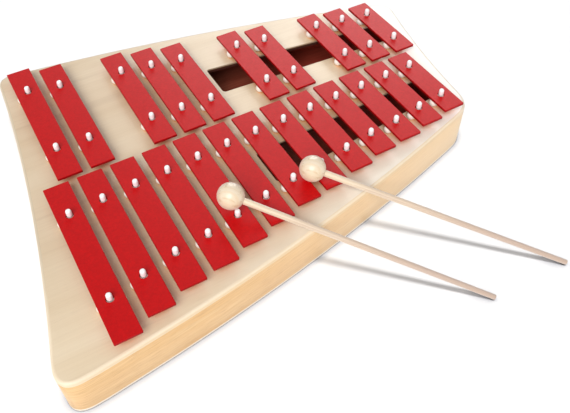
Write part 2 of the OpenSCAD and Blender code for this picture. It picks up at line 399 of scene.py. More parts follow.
@dataclass(frozen=True)
class PlyEdgeFinish:
    """Sanded edge of thin plywood, with its layers faintly showing.

    Attributes:
        layer: thickness of one ply.
        wall: colour below the rounding, by the ramps drop and reach.
        tanned: painted shade, a darker tint at the far left, by the ramp tan.
        washed: painted glare, a paler colour at the right end, by the ramp wash.
        stain: colour of a stained wall, by the ramp depth.
    """

    name: str
    pale: Triple = (0.88, 0.74, 0.55)
    core: Triple = (0.70, 0.52, 0.33)
    wall: Triple = (0.85, 0.62, 0.375)
    tanned: Triple = (0.76, 0.76, 0.75)
    washed: Triple = (0.95, 0.90, 0.82)
    stain: Triple | None = None
    layer: float = 1.35 * MM
    band: Ramp = Ramp(-0.4, 0.9, 0.0, 0.3)
    drop: Ramp = Ramp(36.5 * MM, 37.2 * MM, 1.0, 0.0)
    reach: Ramp = Ramp(-0.22, -0.02, 0.2, 0.85)
    tan: Ramp = Ramp(-0.05, 0.0, 1.0, 0.0)
    wash: Ramp = Ramp(0.15, 0.195, 0.0, 0.8)
    depth: Ramp = Ramp(36.7 * MM, 37.1 * MM, 1.0, 0.0)
    fibre: Grain = Grain((60, 60, 1600), Ramp(0.45, 0.75, 0.0, 0.25))
    speck: Grain = Grain((700, 700, 900), Ramp(0.55, 0.8, 0.0, 0.2), 2)

    def material(self) -> bpy.types.Material:
        """Builds the material.

        Returns:
            The finished material.
        """
        s = Surface(self.name)
        right, _, height = s.split(s.object_place)
        bands = s.math("SINE", s.times(height, math.pi / self.layer))
        colour = s.blend(s.between(bands, self.band), self.pale, self.core)
        colour = s.layer(colour, self.fibre, self.core)
        colour = s.layer(colour, self.speck, self.core)
        below = s.times(s.between(height, self.drop), s.between(right, self.reach))
        colour = s.blend(below, colour, self.wall)
        # Painted shade: the edge is tinted darker at the far left.
        colour = s.tinted(s.between(s.across(), self.tan), colour, self.tanned)
        # Painted glare: the edge is made paler at the right end.
        colour = s.blend(s.between(right, self.wash), colour, self.washed)
        if self.stain:
            colour = s.blend(s.between(height, self.depth), colour, self.stain)
        s.bump(self.speck, depth=0.05 * MM, strength=0.4)
        return s.finish(colour, s.uneven(self.speck, 0.42, 0.55), Specular_IOR_Level=0.3)


@dataclass(frozen=True)
class HollowFinish:
    """Dark reddish-brown wood on the inside of the box.

    Attributes:
        deep: tint toward the right end, by the ramp redden.
    """

    name: str
    dark: Triple = (0.28, 0.06, 0.033)
    worn: Triple = (0.39, 0.108, 0.06)
    deep: Triple = (1.1, 0.62, 0.62)
    redden: Ramp = Ramp(0.02, 0.1)
    grain: Grain = Grain((14, 240, 240), Ramp(0.35, 0.7), 4, 0.6)
    cloud: Grain = Grain((22, 22, 22), Ramp(0.4, 0.7, 0.0, 0.5))

    def material(self) -> bpy.types.Material:
        """Builds the material.

        Returns:
            The finished material.
        """
        s = Surface(self.name)
        colour = s.layer(self.dark, self.grain, self.worn)
        colour = s.layer(colour, self.cloud, self.dark)
        right = s.split(s.object_place)[0]
        colour = s.tinted(s.between(right, self.redden), colour, self.deep)
        s.bump(self.grain, depth=0.1 * MM, strength=0.5)
        return s.finish(colour, s.uneven(self.grain, 0.6, 0.8), Specular_IOR_Level=0.2)


@dataclass(frozen=True)
class LacquerFinish:
    """Red stoved lacquer on steel: a soft gloss, with a very fine mottle.

    Attributes:
        edge: painted shade, a darker red on the upright faces, by the ramp upright.
    """

    name: str
    bright: Triple = (0.60, 0.003, 0.0045)
    deep: Triple = (0.485, 0.0018, 0.003)
    edge: Triple = (0.35, 0.002, 0.004)
    upright: Ramp = Ramp(0.35, 0.75, 1.0, 0.0)
    mottle: Grain = Grain((520, 520, 520), Ramp(0.35, 0.68), roughness=0.7)
    cloud: Grain = Grain((150, 95, 150), Ramp(0.35, 0.7, 0.0, 0.35), 2)
    peel: Grain = Grain((900, 900, 900), detail=1)

    def material(self) -> bpy.types.Material:
        """Builds the material.

        Returns:
            The finished material.
        """
        s = Surface(self.name)
        colour = s.layer(self.bright, self.mottle, self.deep)
        colour = s.layer(colour, self.cloud, self.deep)
        # Painted shade: the upright faces of the bars are given a darker red.
        facing = s.split(s.add("ShaderNodeTexCoord").outputs["Normal"])[2]
        wall = s.between(s.math("ABSOLUTE", facing), self.upright)
        colour = s.blend(wall, colour, self.edge)
        s.bump(self.peel, depth=0.02 * MM, strength=0.35)
        return s.finish(colour, s.uneven(self.mottle, 0.37, 0.46), Specular_IOR_Level=0.13)


@dataclass(frozen=True)
class PlasticFinish:
    """Moulded white plastic with a soft sheen and faint clouding.

    Attributes:
        painted_hole_shade: painted shade, a dark colour round a peg's axis that stands for the
            shadow down the bar's hole, by the ramp hole.
    """

    name: str
    light: Triple = (0.97, 0.965, 0.96)
    shade: Triple = (0.95, 0.945, 0.94)
    gloss: float = 0.3
    painted_hole_shade: Triple | None = None
    hole: Ramp = Ramp(2.5 * MM, 2.7 * MM, 1.0, 0.0)
    cloud: Grain = Grain((240, 240, 240), Ramp(0.4, 0.75, 0.0, 0.6))
    grit: Grain = Grain((2600, 2600, 2600), detail=2)

    def material(self) -> bpy.types.Material:
        """Builds the material.

        Returns:
            The finished material.
        """
        s = Surface(self.name)
        colour = s.layer(self.light, self.cloud, self.shade)
        # Painted shade: the rest is darkened round the peg's axis, for the shadow down the bar's
        # hole.
        if self.painted_hole_shade:
            reach = s.add("ShaderNodeAttribute", attribute_name=REACH).outputs["Fac"]
            colour = s.blend(s.between(reach, self.hole), colour, self.painted_hole_shade)
        s.bump(self.grit, depth=0.02 * MM, strength=0.3)
        rough = s.uneven(self.grit, self.gloss - 0.05, self.gloss + 0.07)
        return s.finish(colour, rough, Specular_IOR_Level=0.5)


@dataclass(frozen=True)
class TurnedFinish:
    """Pale turned wood whose growth lines run along the mallet's stick.

    Attributes:
        turn: turn from object place to place along the stick.
        shift: move from object place to place along the stick.
        lines: growth lines a metre.
        wave: how far they wander, in metres.
        ring: how strongly a growth line shows.
        tail: painted shade, a darker colour that the wood fades to toward its far end, by the ramp
            fade.
    """

    name: str
    turn: Triple
    shift: Triple
    pale: Triple = (0.845, 0.72, 0.56)
    warm: Triple = (0.785, 0.59, 0.36)
    line: Triple = (0.64, 0.44, 0.24)
    tail: Triple | None = None
    lines: float = 280.0
    gloss: float = 0.26
    sheen: float = 0.3
    wave: float = 12 * MM
    ring: Ramp = Ramp(0.2, 1.0, 0.0, 0.4)
    fade: Ramp = Ramp(0.01, 0.15)
    wander: Grain = Grain((18, 45, 45), detail=2)
    figure: Grain = Grain((30, 70, 70), Ramp(0.35, 0.7, 0.0, 0.6), 2)
    fibre: Grain = Grain((40, 1500, 1500), Ramp(0.45, 0.75, 0.0, 0.3), 3, 0.6)
    streak: Grain = Grain((7, 420, 420), Ramp(0.58, 0.66, 0.0, 0.55), 1)

    def material(self) -> bpy.types.Material:
        """Builds the material.

        Returns:
            The finished material.
        """
        s = Surface(self.name)
        s.pattern_place = s.placed(s.object_place, Rotation=self.turn, Location=self.shift)
        along, aside, _ = s.split(s.pattern_place)
        sweep = s.math("ADD", aside, s.times(s.noise(self.wander), self.wave))
        rings = s.math("SINE", s.times(sweep, self.lines * math.tau))
        colour = s.layer(self.pale, self.figure, self.warm)
        colour = s.blend(s.between(rings, self.ring), colour, self.warm)
        # Painted shade: the stick darkens toward its far end, so the part near the ball reads as
        # lit paler.
        if self.tail:
            colour = s.blend(s.between(along, self.fade), colour, self.tail)
        colour = s.layer(colour, self.fibre, self.line)
        colour = s.layer(colour, self.streak, self.line)
        s.bump(self.fibre, depth=0.03 * MM, strength=0.35)
        rough = s.uneven(self.fibre, self.gloss - 0.05, self.gloss + 0.08)
        shine = {"Specular_IOR_Level": 0.5, "Sheen_Weight": self.sheen, "Sheen_Roughness": 0.5}
        return s.finish(colour, rough, **shine)


# -------------------------------------------------------------- mesh helpers
def new_piece(name: str, mesh: bpy.types.Mesh, body: str, node: str) -> None:
    """Puts a finished mesh in the scene in place of its CAD node.

    Args:
        name: the piece's name.
        mesh: its mesh, in place.
        body: the CAD body that it rides on.
        node: the CAD node that it stands for.
    """
    piece = bpy.data.objects.new(name, mesh)
    bpy.context.scene.collection.objects.link(piece)
    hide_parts(node)
    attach(piece, body)
    LOG.info("%s: %d faces on %s", name, len(mesh.polygons), body)


def to_mesh(
    name: str, bm: bmesh.types.BMesh, materials: Iterable[bpy.types.Material]
) -> bpy.types.Mesh:
    """Turns a bmesh into a mesh with its materials, and frees it.

    Args:
        name: the mesh's name.
        bm: the bmesh.
        materials: its materials, in slot order.

    Returns:
        The mesh.
    """
    mesh = bpy.data.meshes.new(name)
    bm.to_mesh(mesh)
    bm.free()
    for material in materials:
        mesh.materials.append(material)
    return mesh


def level_loops(node: str, top: bool) -> list[Points]:
    """Reads the edges of a CAD node's flat top or bottom.

    Args:
        node: the node's name.
        top: whether the top is read rather than the bottom.

    Returns:
        Closed loops of (x, y) points, the longest first.
    """
    low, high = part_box(node)
    level = high.z if top else low.z
    bm = bmesh.new()
    bm.from_mesh(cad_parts[node].data)
    bmesh.ops.remove_doubles(bm, verts=bm.verts, dist=TINY / 10)
    flat = {f for f in bm.faces if all(abs(v.co.z - level) < TINY for v in f.verts)}
    rim = {e for f in flat for e in f.edges if sum(g in flat for g in e.link_faces) == 1}
    loops = []
    while rim:
        edge = rim.pop()
        start, here = edge.verts
        chain = [start.co.copy()]
        while here is not start:
            chain.append(here.co.copy())
            edge = next(e for e in here.link_edges if e in rim)
            rim.discard(edge)
            here = edge.other_vert(here)
        loops.append(np.array([(p.x, p.y) for p in chain]))
    bm.free()
    return sorted((wound(loop) for loop in loops), key=loop_length, reverse=True)


def edge_lengths(loop: Points) -> Points:
    """Lengths from each point of a closed loop to the next."""
    return np.linalg.norm(np.roll(loop, -1, axis=0) - loop, axis=1)


def loop_length(loop: Points) -> float:
    """Length round a closed loop."""
    return float(edge_lengths(loop).sum())


def wound(loop: Points) -> Points:
    """Turns a loop so that it runs anticlockwise, seen from above, from its leftmost point.

    Args:
        loop: the points.

    Returns:
        The same points in the order that every run gives them.
    """
    x, y = loop.T
    area = (x * np.roll(y, -1) - np.roll(x, -1) * y).sum()
    loop = loop if area > 0 else loop[::-1]
    return np.roll(loop, -np.lexsort(loop.T[::-1])[0], axis=0)


def smoothed(loop: Points, steps: int) -> Points:
    """Runs a smooth curve through a closed loop's points.

    Args:
        loop: the points.
        steps: new points for each old one.

    Returns:
        The finer loop, in which every old point is kept.
    """
    ahead = np.roll(loop, -1, axis=0) - loop
    span = np.linalg.norm(ahead, axis=1)[:, None]
    slope, last = ahead / span, np.roll(span, 1, axis=0)
    tangent = (span * np.roll(slope, 1, axis=0) + last * slope) / (span + last)
    onward = np.roll(tangent, -1, axis=0)
    parts = []
    for t in np.arange(steps) / steps:
        bend = span * ((t**3 - 2 * t**2 + t) * tangent + (t**3 - t**2) * onward)
        parts.append(loop + (3 * t**2 - 2 * t**3) * ahead + bend)
    return np.stack(parts, axis=1).reshape(-1, 2)


def inward(loop: Points, sharpest: float = 0.5) -> Points:
    """Finds the inward directions at the points of an anticlockwise loop.

    Args:
        loop: the points.
        sharpest: least cosine of half a corner's turn, past which a mitre grows no more.

    Returns:
        The mitred directions.
    """
    ahead = np.roll(loop, -1, axis=0) - loop
    ahead /= np.linalg.norm(ahead, axis=1)[:, None]
    normal = np.stack((-ahead[:, 1], ahead[:, 0]), axis=1)
    both = normal + np.roll(normal, 1, axis=0)
    both /= np.linalg.norm(both, axis=1)[:, None]
    mitre = np.clip((both * normal).sum(axis=1), sharpest, 1.0)
    return both / mitre[:, None]


@dataclass
class Rim:
    """One closed edge of a flat plate: its outside or a hole.

    Attributes:
        points: the edge's plan, anticlockwise.
        low_ease: radius of the bottom edge.
        high_ease: radius of the top edge.
        slot: the material slot of its wall.
        steps: how many bands round an edge.
        is_hole: whether the plate lies outside the loop.
    """

    points: Points
    low_ease: float
    high_ease: float
    slot: int
    steps: int
    is_hole: bool = False

    def section(self, bottom: float, top: float) -> list[tuple[float, float]]:
        """Steps of the wall's section as (inset, height), from the bottom up.

        Args:
            bottom: the plate's lowest level.
            top: the plate's highest level.

        Returns:
            The steps.
        """
        turns = np.linspace(0.0, math.pi / 2, self.steps + 1)
        low, high = (
            [(ease * (1 - math.sin(a)), ease * (1 - math.cos(a))) for a in turns]
            for ease in (self.low_ease, self.high_ease)
        )
        rows = [(inset, bottom + rise) for inset, rise in low]
        return rows + [(inset, top - fall) for inset, fall in reversed(high)]

    def wall(
        self, bm: bmesh.types.BMesh, bottom: float, top: float
    ) -> list[list[bmesh.types.BMEdge]]:
        """Builds the wall, with its UV map in metres along the rim and up.

        Args:
            bm: the plate's bmesh.
            bottom: the plate's lowest level.
            top: the plate's highest level.

        Returns:
            The edges of its lowest and of its highest row.
        """
        uv = bm.loops.layers.uv.verify()
        side = -inward(self.points) if self.is_hole else inward(self.points)
        rows = []
        for inset, level in self.section(bottom, top):
            plan = self.points + side * inset
            rows.append([bm.verts.new((x, y, level)) for x, y in plan])
        count = len(self.points)
        along = np.concatenate(([0.0], np.cumsum(edge_lengths(self.points))))
        for lower, upper in zip(rows, rows[1:]):
            for i in range(count):
                j = (i + 1) % count
                corners = [(lower[i], i), (lower[j], i + 1), (upper[j], i + 1), (upper[i], i)]
                if self.is_hole:
                    corners.reverse()
                face = bm.faces.new([v for v, _ in corners])
                face.smooth = True
                face.material_index = self.slot
                for loop, (vert, step) in zip(face.loops, corners):
                    loop[uv].uv = (along[step], vert.co.z)
        return [
            [bm.edges.get(pair) for pair in zip(row, row[1:] + row[:1])]
            for row in (rows[0], rows[-1])
        ]


def plate(
    name: str,
    rims: list[Rim],
    heights: tuple[float, float],
    materials: list[bpy.types.Material],
    low_slot: int = 0,
) -> bpy.types.Mesh:
    """Builds a flat plate with rounded edges and holes.

    Args:
        name: the mesh's name.
        rims: its outside first, then its holes.
        heights: its lowest and highest levels.
        materials: the materials of its slots, its top's first.
        low_slot: the slot of its underside.

    Returns:
        The mesh, with its UV map in metres.
    """
    bm = bmesh.new()
    uv = bm.loops.layers.uv.new("UVMap")
    walls = [rim.wall(bm, *heights) for rim in rims]
    for edges, up, slot in zip(zip(*walls), (-1, 1), (low_slot, 0)):
        ring = sum(edges, [])
        filled = bmesh.ops.triangle_fill(bm, use_beauty=True, edges=ring, normal=(0, 0, up))
        for face in (g for g in filled["geom"] if isinstance(g, bmesh.types.BMFace)):
            if face.normal.z * up < 0:
                face.normal_flip()
            face.material_index = slot
            for loop in face.loops:
                loop[uv].uv = loop.vert.co.xy
    return to_mesh(name, bm, materials)


def quarter_round(radius: float, steps: int = 3) -> list[tuple[float, float]]:
    """Steps round a quarter turn, as distances from the line left and from the line met."""
    angles = [math.pi / 2 * k / steps for k in range(1, steps + 1)]
    return [(radius * (1 - math.cos(a)), radius * (1 - math.sin(a))) for a in angles]


def lathe(
    name: str,
    outline: Sequence[tuple[float, float]],
    place: Matrix,
    material: bpy.types.Material,
    steps: int,
) -> bpy.types.Mesh:
    """Turns an outline about its own X axis.

    Args:
        name: the mesh's name.
        outline: (along, radius) points from one end to the other, both on the axis.
        place: where the turned shape goes.
        material: its material.
        steps: how many faces go round.

    Returns:
        The closed mesh.
    """
    bm = bmesh.new()
    angles = [math.tau * k / steps for k in range(steps)]
    rows = []
    for along, radius in outline:
        spots = ((along, radius * math.cos(a), radius * math.sin(a)) for a in angles)
        rows.append([bm.verts.new(p) for p in (spots if radius else [(along, 0.0, 0.0)])])
    for first, second in zip(rows, rows[1:]):
        for k in range(steps):
            n = (k + 1) % steps
            ring = [first[k % len(first)], second[k % len(second)]]
            ring += [second[n % len(second)], first[n % len(first)]]
            bm.faces.new(list(dict.fromkeys(ring)))
    for face in bm.faces:
        face.smooth = True
    bm.transform(place)
    bmesh.ops.recalc_face_normals(bm, faces=bm.faces)
    return to_mesh(name, bm, [material])


# ---------------------------------------------------------- geometry nodes
class Growth(Tree):
    """A Geometry Nodes tree with named inputs, which makes one shape on every seed point.

    Attributes:
        NAME: the tree's name.
        SIZES: its inputs by name, each with its default; a whole number is a count.
        WELD: the distance within which points are merged.
        SEED_LEVEL: where the seed point lies in the shape's height, 0 to 1.
    """

    NAME = ""
    SIZES: dict[str, float] = {}
    WELD = 0.01 * MM
    SEED_LEVEL = 0.5

    def __init__(self) -> None:
        """Builds the tree: its inputs, the shape, and the shape set on the points."""
        super().__init__(bpy.data.node_groups.new(self.NAME, "GeometryNodeTree"))
        face = self.tree.interface
        kinds = {k: "Int" if isinstance(v, int) else "Float" for k, v in self.SIZES.items()}
        for name, kind in ({"Geometry": "Geometry"} | kinds | {"Finish": "Material"}).items():
            face.new_socket(name, in_out="INPUT", socket_type="NodeSocket" + kind)
        face.new_socket("Geometry", in_out="OUTPUT", socket_type="NodeSocketGeometry")
        self.read = self.add("NodeGroupInput").outputs
        inputs = {"Points": self.read["Geometry"], "Instance": self.shape()}
        placed = self.out("GeometryNodeInstanceOnPoints", inputs)
        real = self.out("GeometryNodeRealizeInstances", {0: placed})
        inputs = {"Geometry": real, "Material": self.read["Finish"]}
        self.add("NodeGroupOutput", {0: self.out("GeometryNodeSetMaterial", inputs)})

    def shape(self) -> NodeSocket:
        """Makes the shape, about its own seed point."""
        raise NotImplementedError

    def grow(
        self, name: str, seeds: Sequence[Sequence[float]], **values: object
    ) -> bpy.types.Mesh:
        """Runs the tree on points.

        Args:
            name: the mesh's name.
            seeds: the points.
            **values: the finish and the sizes that differ, with _ for a space.

        Returns:
            The finished plain mesh.
        """
        start = bpy.data.meshes.new(name + "_seeds")
        start.from_pydata([tuple(p) for p in seeds], [], [])
        holder = bpy.data.objects.new(name + "_seeds", start)
        bpy.context.scene.collection.objects.link(holder)
        modifier = holder.modifiers.new("growth", "NODES")
        modifier.node_group = self.tree
        chosen = self.SIZES | {k.replace("_", " "): v for k, v in values.items()}
        for item in self.tree.interface.items_tree:
            if item.in_out == "INPUT" and item.name in chosen:
                modifier[item.identifier] = chosen[item.name]
        bpy.context.view_layer.update()
        evaluated = holder.evaluated_get(bpy.context.evaluated_depsgraph_get())
        mesh = bpy.data.meshes.new_from_object(evaluated)
        mesh.name = name
        holder.modifiers.remove(modifier)
        bpy.data.objects.remove(holder)
        bpy.data.meshes.remove(start)
        return mesh

    def half(self, size: str) -> NodeSocket:
        """Half of one of the tree's sizes."""
        return self.times(self.read[size], 0.5)

    def share(self, count: int) -> NodeSocket:
        """Where a point lies along a row of points, 0 to 1."""
        return self.math("DIVIDE", self.out("GeometryNodeInputIndex"), count - 1)

    def wire(self, count: int, place: NodeSocket) -> NodeSocket:
        """Makes a curve through points whose place is worked out from their number.

        Args:
            count: how many points it has.
            place: where each point lies.

        Returns:
            The curve.
        """
        line = self.out("GeometryNodeMeshLine", {"Count": count})
        inputs = {"Geometry": line, "Position": place}
        return self.out("GeometryNodeMeshToCurve", {0: self.out("GeometryNodeSetPosition", inputs)})

    def tube(self, curve: NodeSocket, radius: NodeSocket) -> NodeSocket:
        """Sweeps a closed round tube along a curve.

        Args:
            curve: the curve.
            radius: the tube's radius at each of the curve's points.

        Returns:
            The tube's mesh.
        """
        inputs = {"Resolution": self.read["Sides"], "Radius": 1.0}
        ring = self.out("GeometryNodeCurvePrimitiveCircle", inputs)
        inputs = {"Curve": curve, "Profile Curve": ring, "Scale": radius, "Fill Caps": True}
        return self.welded(self.out("GeometryNodeCurveToMesh", inputs))

    def welded(self, mesh: NodeSocket) -> NodeSocket:
        """Merges the points that lie together."""
        inputs = {"Geometry": mesh, "Distance": self.WELD}
        return self.out("GeometryNodeMergeByDistance", inputs)

    def joined(self, pieces: Iterable[NodeSocket]) -> NodeSocket:
        """Joins pieces of geometry.

        Args:
            pieces: the pieces, in order.

        Returns:
            The whole.
        """
        node = self.add("GeometryNodeJoinGeometry")
        for piece in pieces:
            self.tree.links.new(piece, node.inputs[0])
        return node.outputs[0]

    def moved(self, piece: NodeSocket, move: NodeSocket) -> NodeSocket:
        """Moves a piece of geometry by a vector."""
        return self.out("GeometryNodeTransform", {"Geometry": piece, "Translation": move})

    def smooth(self, mesh: NodeSocket, is_smooth: bool = True) -> NodeSocket:
        """Shades a mesh smooth or flat."""
        inputs = {"Geometry": mesh, "Shade Smooth": is_smooth}
        return self.out("GeometryNodeSetShadeSmooth", inputs)


class PegGrowth(Growth):
    """Grows a turned peg: shank, neck and rounded head.

    Attributes:
        RINGS: how many rings of points it has.
        OUTLINE: shares of its height and of its head's radius, from the foot up.
    """

    NAME = "peg growth"
    SIZES = {"Height": 19 * MM, "Head Diameter": 4.3 * MM, "Sides": 20}
    SEED_LEVEL = 0.0
    RINGS = 26
    OUTLINE = (
        (0.0, 0.68),
        (0.60, 0.68),
        (0.66, 0.71),
        (0.69, 0.92),
        (0.72, 1.0),
        (0.885, 0.995),
        (0.93, 0.94),
        (0.962, 0.83),
        (0.986, 0.60),
        (1.0, 0.0),
    )

    def shape(self) -> NodeSocket:
        """Sweeps an upright line, whose rings lie closer at the head, by the outline.

        Returns:
            The peg, standing on its seed point.
        """
        rise = self.math("SINE", self.times(self.share(self.RINGS), math.pi / 2))
        line = self.wire(self.RINGS, self.xyz(z=self.times(rise, self.read["Height"])))
        outline = self.add("ShaderNodeFloatCurve", {"Value": rise})
        curve = outline.mapping.curves[0]
        curve.points[0].location, curve.points[-1].location = self.OUTLINE[0], self.OUTLINE[-1]
        for spot in self.OUTLINE[1:-1]:
            curve.points.new(*spot)
        for point in curve.points:
            point.handle_type = "VECTOR"
        outline.mapping.update()
        radius = self.times(outline.outputs[0], self.half("Head Diameter"))
        return self.smooth(self.tube(line, radius))


class RestGrowth(Growth):
    """Grows a soft rest: a capsule with its top and bottom pressed flat."""

    NAME = "rest growth"
    SIZES = {"Length": 20.8 * MM, "Thickness": 7.2 * MM, "Height": 7 * MM, "Sides": 28}
    RINGS = 30

    def shape(self) -> NodeSocket:
        """Sweeps a line as a capsule, holds it between two levels, and marks its reach.

        Returns:
            The rest, about its seed point.
        """
        half = self.half("Thickness")
        barrel = self.minus(self.half("Length"), half)
        swing = self.times(self.minus(self.share(self.RINGS), 0.5), math.pi)
        cap = self.times(self.math("SINE", swing), half)
        step = self.times(self.math("SIGN", swing), barrel)
        line = self.wire(self.RINGS, self.xyz(self.math("ADD", cap, step)))
        capsule = self.tube(line, self.times(self.math("COSINE", swing), half))
        x, y, z = self.split(self.out("GeometryNodeInputPosition"))
        limit = self.half("Height")
        held = self.math("MAXIMUM", self.math("MINIMUM", z, limit), self.times(limit, -1.0))
        inputs = {"Geometry": capsule, "Position": self.xyz(x, y, held)}
        inputs = {
            "Geometry": self.out("GeometryNodeSetPosition", inputs),
            "Name": REACH,
            "Value": self.length(self.xyz(x, y)),
        }
        return self.smooth(self.out("GeometryNodeStoreNamedAttribute", inputs))


class BarGrowth(Growth):
    """Grows a flat bar with two peg holes and eased edges.

    Attributes:
        BANDS: how many bands its edge has.
        CORNER_STEPS: how many points round each corner.
    """

    NAME = "bar growth"
    SIZES = {
        "Length": 148 * MM,
        "Width": 19.6 * MM,
        "Thickness": 2.2 * MM,
        "Still Share": STILL_SHARE,
        "Hole Diameter": 5.6 * MM,
        "Edge Radius": 0.3 * MM,
        "Corner Radius": 0.6 * MM,
        "Hole Sides": 32,
    }
    WELD = 0.005 * MM
    BANDS = 8
    CORNER_STEPS = 4

    def shape(self) -> NodeSocket:
        """Sweeps the edges with the edge's section, and fills both faces.

        Returns:
            The bar, about its seed point.
        """
        loops = self.out("GeometryNodeSetCurveNormal", {0: self.plan()}, mode="Z_UP")
        half, inset = self.half("Thickness"), self.times(self.read["Edge Radius"], -1.0)
        inputs = {"Curve": loops, "Profile Curve": self.section(half, inset)}
        band = self.smooth(self.out("GeometryNodeCurveToMesh", inputs))
        shift = self.add(
            "ShaderNodeVectorMath", {0: self.out("GeometryNodeInputNormal")}, operation="SCALE"
        )
        self.feed(shift.inputs["Scale"], inset)
        inputs = {"Geometry": loops, "Offset": shift.outputs[0]}
        inner = self.out("GeometryNodeSetPosition", inputs)
        face = self.out("GeometryNodeFillCurve", {0: inner})
        top = self.moved(face, self.xyz(z=half))
        low = self.moved(face, self.xyz(z=self.times(half, -1.0)))
        low = self.out("GeometryNodeFlipFaces", {0: low})
        faces = (self.smooth(top, False), self.smooth(low, False))
        return self.welded(self.joined((band, *faces)))

    def plan(self) -> NodeSocket:
        """Draws the bar's outside and its two holes.

        Returns:
            The closed curves, the holes turned the other way.
        """
        inputs = {"Width": self.read["Width"], "Height": self.read["Length"]}
        sheet = self.out("GeometryNodeCurvePrimitiveQuadrilateral", inputs)
        inputs = {"Count": self.CORNER_STEPS, "Radius": self.read["Corner Radius"]}
        outside = self.out("GeometryNodeFilletCurve", {"Curve": sheet} | inputs, mode="POLY")
        inputs = {"Resolution": self.read["Hole Sides"], "Radius": self.half("Hole Diameter")}
        hole = self.out("GeometryNodeCurvePrimitiveCircle", inputs)
        hole = self.out("GeometryNodeReverseCurve", {0: hole})
        reach = self.times(self.minus(0.5, self.read["Still Share"]), self.read["Length"])
        holes = [self.moved(hole, self.xyz(y=self.times(reach, sign))) for sign in (1.0, -1.0)]
        return self.joined((outside, *holes))

    def section(self, half: NodeSocket, inset: NodeSocket) -> NodeSocket:
        """Draws the edge's section: a quarter round, a straight and a quarter round.

        Args:
            half: half the bar's thickness.
            inset: the edge's radius, negative toward the bar's middle.

        Returns:
            The section as a curve.
        """
        count = self.BANDS + 2
        index = self.out("GeometryNodeInputIndex")
        other = self.minus(count - 1, index)
        angle = self.times(self.math("MINIMUM", index, other), math.pi / self.BANDS)
        aside = self.times(inset, self.minus(1.0, self.math("SINE", angle)))
        drop = self.times(inset, self.minus(1.0, self.math("COSINE", angle)))
        side = self.math("SIGN", self.minus(other, index))
        level = self.times(side, self.math("ADD", half, drop))
        return self.wire(count, self.xyz(aside, level))


# --------------------------------------------------------------- assemblies
@dataclass
class SoundBox:
    """The flared hollow box: two boards and four rails.

    Attributes:
        outline_steps: points of the smooth outline for each of the CAD's.
        top_round, board_ease, seam_ease: rounding of the top edge, other edges and seams.
        smallest_slot: least length round a sound slot, past that of a drilling.
        level: least upward part of a normal on a face that counts as level.
    """

    outline_steps: int = 4
    top_round: float = 2.3 * MM
    board_ease: float = 0.35 * MM
    seam_ease: float = 0.08 * MM
    smallest_slot: float = 100 * MM
    level: float = 0.9
    rails: tuple[str, ...] = ("front_rail", "right_rail", "back_rail", "left_rail")

    def __post_init__(self) -> None:
        """Reads the plan of the box and makes its finishes."""
        self.coarse = level_loops("bottom_board", top=False)[0]
        low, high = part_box("bottom_board")
        self.plan = np.clip(smoothed(self.coarse, self.outline_steps), low.xy, high.xy)
        self.veneer = VeneerFinish("birch_veneer").material()
        self.edge = PlyEdgeFinish("sanded_ply_edge").material()
        self.sawn = PlyEdgeFinish(
            "stained_ply_edge", (0.50, 0.36, 0.23), (0.36, 0.24, 0.15), stain=(0.075, 0.022, 0.014)
        ).material()
        self.hollow = HollowFinish("dark_hollow").material()
        self.rail_wood = RailFinish("rail_wood").material()
        self.foot_edge = RailFinish("rail_wood_foot", foot=(0.94, 0.83, 0.70)).material()

    def build(self) -> None:
        """Builds the boards and the rails."""
        self.build_top()
        self.build_bottom()
        for rail in self.rails:
            self.build_rail(rail)

    def build_top(self) -> None:
        """Builds the top board, with its rounded edge and both sound slots."""
        low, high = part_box("top_board")
        rims = [Rim(self.plan, self.seam_ease, self.top_round, slot=2, steps=6)]
        for loop in level_loops("top_board", top=True)[1:]:
            if loop_length(loop) > self.smallest_slot:
                rims.append(Rim(loop, self.seam_ease, self.board_ease, 3, 3, is_hole=True))
        materials = [self.veneer, self.hollow, self.edge, self.sawn]
        mesh = plate("top_board_sheet", rims, (low.z, high.z), materials, low_slot=1)
        new_piece("board_top", mesh, "sound_box", "top_board")

    def build_bottom(self) -> None:
        """Builds the bottom board, dark on its upper side."""
        low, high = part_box("bottom_board")
        rim = Rim(self.plan, self.board_ease, self.seam_ease, slot=0, steps=4)
        materials = [self.foot_edge, self.veneer, self.hollow]
        mesh = plate("bottom_board_sheet", [rim], (low.z, high.z), materials, low_slot=1)
        for face in mesh.polygons:
            if face.normal.z > self.level:
                face.material_index = 2
        new_piece("board_bottom", mesh, "sound_box", "bottom_board")

    def build_rail(self, rail: str) -> None:
        """Builds one rail between the boards, dark on its inner side.

        Args:
            rail: the CAD node's name.
        """
        low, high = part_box(rail)
        loop = level_loops(rail, top=True)[0]
        spread = np.linalg.norm(loop[:, None] - self.coarse[None], axis=2)
        outer = spread.min(axis=1) < 2 * TINY
        first = next(i for i in range(len(loop)) if outer[i] and not outer[i - 1])
        loop, outer = np.roll(loop, -first, axis=0), np.roll(outer, -first)
        ends = (first, first + outer.sum() - 1)
        start, stop = (int(spread[k % len(loop)].argmin()) for k in ends)
        steps = self.outline_steps
        reach = (stop - start) % len(self.coarse) * steps
        run = range(start * steps, start * steps + reach + 1)
        front = np.take(self.plan, run, axis=0, mode="wrap")
        rim = Rim(
            np.concatenate((front, loop[~outer])), self.seam_ease, self.seam_ease, slot=0, steps=2
        )
        materials = [self.rail_wood, self.hollow]
        mesh = plate(rail + "_sheet", [rim], (low.z, high.z), materials)
        inside = {self.spot(p) for p in loop[~outer]}
        for face in mesh.polygons:
            if inside & {self.spot(mesh.vertices[v].co) for v in face.vertices}:
                face.material_index = 1
        new_piece(rail.replace("_rail", "_side"), mesh, "sound_box", rail)


    @staticmethod
    def spot(point: Sequence[float]) -> tuple[int, int]:
        """A point's place in plan, in whole micrometres."""
        return round(point[0] * 1e6), round(point[1] * 1e6)


